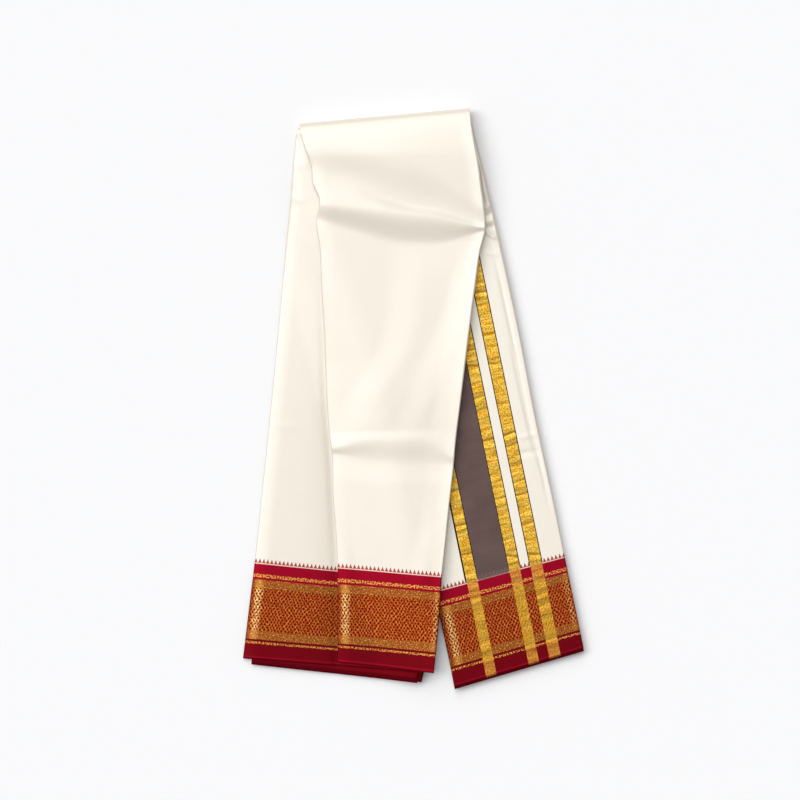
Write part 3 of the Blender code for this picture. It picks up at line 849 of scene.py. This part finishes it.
# Puckers: lines across the stripe at uneven distances, each with painted shade on one side and a painted
# highlight on the other.
sway = chart.noise(chart.stretch(given["Threads"], (14, 26, 1)), 1.0, 2.0, 0.5)
phase = chart.math("MULTIPLY_ADD", sway, 11.0, chart.math("MULTIPLY", along, 2 * math.pi / PUCKER_PITCH))
pucker = chart.math("SINE", phase)
depth = chart.noise(chart.stretch(given["Threads"], (14, 45, 1)), 1.0, 1.0)
depth = chart.math("MULTIPLY_ADD", chart.math("SUBTRACT", depth, 0.5), 5.0, 0.55, clamp=True)
shaded = chart.math("MULTIPLY", chart.math("MULTIPLY_ADD", pucker, 3.0, -1.9, clamp=True), depth)
lit = chart.math("SINE", chart.math("SUBTRACT", phase, 1.1))
lit = chart.math("MULTIPLY_ADD", lit, 2.0, -1.0, clamp=True)
sparkle = chart.noise(chart.stretch(given["Threads"], (560, 560, 1)), 1.0, 1.0)
sparkle = chart.math("MULTIPLY_ADD", chart.math("SUBTRACT", sparkle, 0.5), 7.0, 0.5, clamp=True)
patches = chart.noise(chart.stretch(given["Threads"], (36, 210, 1)), 1.0, 2.0)
light = chart.math("MULTIPLY_ADD", sparkle, 0.6, chart.math("MULTIPLY_ADD", patches, 2.6, -1.2))
light = chart.math("MULTIPLY_ADD", chart.math("MULTIPLY", lit, depth), 0.55, light, clamp=True)
metal = chart.mix(light, STRIPE_GOLD, PALE_GOLD)
dark_specks = chart.math("MULTIPLY_ADD", sparkle, -4.0, 1.0, clamp=True)
metal = chart.mix(chart.math("MULTIPLY", dark_specks, 0.22), metal, DARK_GOLD)
metal = chart.mix(chart.math("MULTIPLY", shaded, 0.7), metal, DARK_GOLD)
# Over the border the stripe is woven with the border's own threads, so it takes some of their colour.
over = chart.mix(chart.between(along, HIGH_BAND[1], TRIANGLES[0], 0.0015), OVER_GOLD, OVER_CRIMSON)
over = chart.mix(chart.between(along, -0.01, LOW_DOTS[0], 0.0015), over, OVER_CRIMSON)
over = chart.mix(chart.math("MULTIPLY", dark_specks, 0.5), over, DARK_GOLD)
over = chart.mix(chart.math("MULTIPLY", light, 0.4), over, PALE_GOLD)
metal = chart.mix(on_body, over, metal)
above_border = chart.math("GREATER_THAN", along, PINK_LINE[0])
# The grey is a little paler in patches.
paler_patches = chart.noise(chart.stretch(given["Threads"], (25, 40, 1)), 1.0, 3.0)
paler_patches = chart.math("MULTIPLY_ADD", chart.math("SUBTRACT", paler_patches, 0.5), 2.6, 0.5, clamp=True)
grey_share = chart.math("MULTIPLY_ADD", given["Border"], -0.22, 1.0)
grey_share = chart.math("MULTIPLY", chart.math("MULTIPLY", grey, above_border), grey_share)
colour = chart.mix(grey_share, given["Colour Under"], chart.mix(paler_patches, STRIPE_GREY, PALE_GREY))
gold_share = chart.math("MULTIPLY", gold, chart.math("MULTIPLY_ADD", on_body, 0.12, 0.88))
colour = chart.mix(gold_share, colour, metal)
colour = chart.mix(chart.math("MULTIPLY", black, on_body), colour, LINE_BLACK)
chart.put(result["Colour"], colour)
chart.put(result["Gold"], gold)
chart.put(result["Dark"], chart.math("MULTIPLY", chart.most(grey, black), on_body))
pucker_height = chart.math("MULTIPLY", pucker, chart.math("MULTIPLY", depth, -1.0))
chart.put(result["Height"], chart.math("MULTIPLY", gold, pucker_height))
print("stripe group:", len(stripes.nodes), "nodes")

# %% [markdown]
# ## The finished cloth
#
# One function makes a silk material from the groups: body, border, and the stripes where the end piece has
# them. The silk is a satin surface that throws back a broad soft light, the dyed and metal threads are partly
# metallic, and a Bump node takes the weave, the raised gold and a little crumple. All of it reads the layer's
# own map of its threads.


# %% Silk material
STREAK = (0.64, 0.56, 0.45, 1)
# The end piece is the same ivory painted lighter: painted light where it lies lower and in more shade.
LIT_END_IVORY = (0.755, 0.690, 0.585, 1)
# The hidden folds are the same ivory painted darker: painted shade between the layers.
SHADED_LAYER_IVORY = (0.68, 0.61, 0.49, 1)
WEAVE_RELIEF = 0.000006
GOLD_RELIEF = 0.00010
CRUMPLE_RELIEF = 0.0002


def silk(name, with_stripes=False, body=IVORY):
    """A material of ivory silk with its border, and with the end stripes if asked."""
    material = bpy.data.materials.new(name)
    material.use_nodes = True
    tree = material.node_tree
    shader = tree.nodes["Principled BSDF"]
    chart = Chart(tree)
    threads = tree.nodes.new("ShaderNodeUVMap")
    threads.uv_map = "threads"
    threads = threads.outputs[0]
    weave_node = tree.nodes.new("ShaderNodeGroup")
    weave_node.node_tree = weave
    chart.put(weave_node.inputs["Threads"], threads)
    border_node = tree.nodes.new("ShaderNodeGroup")
    border_node.node_tree = border
    chart.put(border_node.inputs["Threads"], threads)
    edges = tree.nodes.new("ShaderNodeUVMap")
    edges.uv_map = "edges"
    chart.put(border_node.inputs["Edges"], edges.outputs[0])
    streak = chart.math("MULTIPLY", weave_node.outputs["Streaks"], 0.10)
    body_colour = chart.mix(streak, body, STREAK)
    chart.put(border_node.inputs["Body Colour"], body_colour)
    colour, gold = border_node.outputs["Colour"], border_node.outputs["Gold"]
    raised = border_node.outputs["Height"]
    if with_stripes:
        stripe_node = tree.nodes.new("ShaderNodeGroup")
        stripe_node.node_tree = stripes
        chart.put(stripe_node.inputs["Threads"], threads)
        chart.put(stripe_node.inputs["Colour Under"], colour)
        chart.put(stripe_node.inputs["Border"], border_node.outputs["Border"])
        colour = stripe_node.outputs["Colour"]
        gold = chart.most(gold, stripe_node.outputs["Gold"])
        raised = chart.math("ADD", raised, chart.math("MULTIPLY", stripe_node.outputs["Height"], 3.0))
    chart.put(shader.inputs["Base Color"], colour)
    dyed = chart.most(border_node.outputs["Border"], gold)
    satin = chart.math("MULTIPLY_ADD", weave_node.outputs["Slubs"], 0.06, 0.33)
    matt = chart.math("MULTIPLY_ADD", dyed, 0.18, satin)
    if with_stripes:
        dyed = chart.most(dyed, stripe_node.outputs["Dark"])
        matt = chart.math("MULTIPLY_ADD", stripe_node.outputs["Dark"], 0.18, matt)
    # Dyed silk and metal thread throw back their own colour, so they are metallic in part; ivory is not.
    chart.put(shader.inputs["Metallic"], chart.math("MULTIPLY", dyed, 0.985))
    chart.put(shader.inputs["Roughness"], chart.math("MULTIPLY_ADD", gold, -0.03, matt))
    shader.inputs["Specular IOR Level"].default_value = 1.0
    shader.inputs["IOR"].default_value = 1.78
    soft = chart.noise(chart.stretch(threads, (17, 22, 1)), 1.0, 2.0, 0.5)
    relief = chart.math("MULTIPLY", weave_node.outputs["Height"], WEAVE_RELIEF)
    relief = chart.math("ADD", relief, chart.math("MULTIPLY", raised, GOLD_RELIEF))
    relief = chart.math("ADD", relief, chart.math("MULTIPLY", soft, CRUMPLE_RELIEF))
    bump = tree.nodes.new("ShaderNodeBump")
    bump.inputs["Strength"].default_value = 1.0
    bump.inputs["Distance"].default_value = 1.0
    chart.put(bump.inputs["Height"], relief)
    chart.put(shader.inputs["Normal"], bump.outputs[0])
    return material


ivory_silk = silk("ivory_silk")
end_silk = silk("striped_silk", with_stripes=True, body=LIT_END_IVORY)
shaded_layer_silk = silk("shaded_layered_silk", body=SHADED_LAYER_IVORY)
wears = [(front, ivory_silk), (left, ivory_silk), (end_piece, end_silk)]
wears += [(cloth, shaded_layer_silk) for cloth in hidden]
for cloth, material in wears:
    cloth.data.materials.clear()
    cloth.data.materials.append(material)
print("materials:", [material.name for material in (ivory_silk, end_silk, shaded_layer_silk)])

# %% [markdown]
# ## Table, light and camera
#
# The cloth lies on a plain white table and is seen from straight above through a long lens. A large soft box
# hangs a little to the upper left, one lamp stands lower at the left and one beyond the top. Flat silk shines
# a little in the soft box, and its folded edges and crests in the two lamps. Each crease shades softly to the
# lower right, and a white sky fills the rest.

# %% Table
TABLE_SIZE = 6
bpy.ops.object.select_all(action="DESELECT")
bpy.ops.mesh.primitive_plane_add(size=TABLE_SIZE, location=(0, 0, -0.0002))
table = bpy.context.object
table.name = "table_top"
white = bpy.data.materials.new("table_white")
white.use_nodes = True
paint = white.node_tree.nodes["Principled BSDF"].inputs
paint["Base Color"].default_value = (0.864, 0.866, 0.876, 1)
paint["Roughness"].default_value = 0.9
table.data.materials.append(white)
print("table:", table.name)

# %% Light
world = bpy.context.scene.world or bpy.data.worlds.new("studio")
bpy.context.scene.world = world
world.use_nodes = True
sky = world.node_tree.nodes["Background"].inputs
sky["Color"].default_value = (1.0, 1.0, 1.0, 1)
sky["Strength"].default_value = 0.32
LAMPS = (
    # name, strength, angle that it fills, lean off the vertical, way it comes from (x, y)
    ("soft_box", 1.37, 0.87, 21, (-0.70, 0.71)),
    ("left_lamp", 0.88, 0.50, 44, (-0.97, 0.25)),
    ("top_lamp", 0.82, 0.75, 48, (-0.25, 0.97)),
)
for name, strength, fill, lean, (from_x, from_y) in LAMPS:
    lamp = bpy.data.objects.new(name, bpy.data.lights.new(name, "SUN"))
    lamp.data.energy = strength
    lamp.data.angle = fill
    lamp.rotation_euler = (0, math.radians(lean), math.atan2(from_y, from_x))
    bpy.context.scene.collection.objects.link(lamp)
print("lamps:", [name for name, *_ in LAMPS])

# %% Camera
camera = bpy.data.objects.new("camera", bpy.data.cameras.new("camera"))
bpy.context.scene.collection.objects.link(camera)
camera.data.lens = 135
camera.data.sensor_width = 36
camera.location = (-0.01533, -0.00164, 3.432)
camera.rotation_euler = (0, 0, 0)
camera.data.clip_end = 20
bpy.context.scene.camera = camera
bpy.context.scene.view_settings.view_transform = "Standard"
print("camera at", tuple(camera.location))
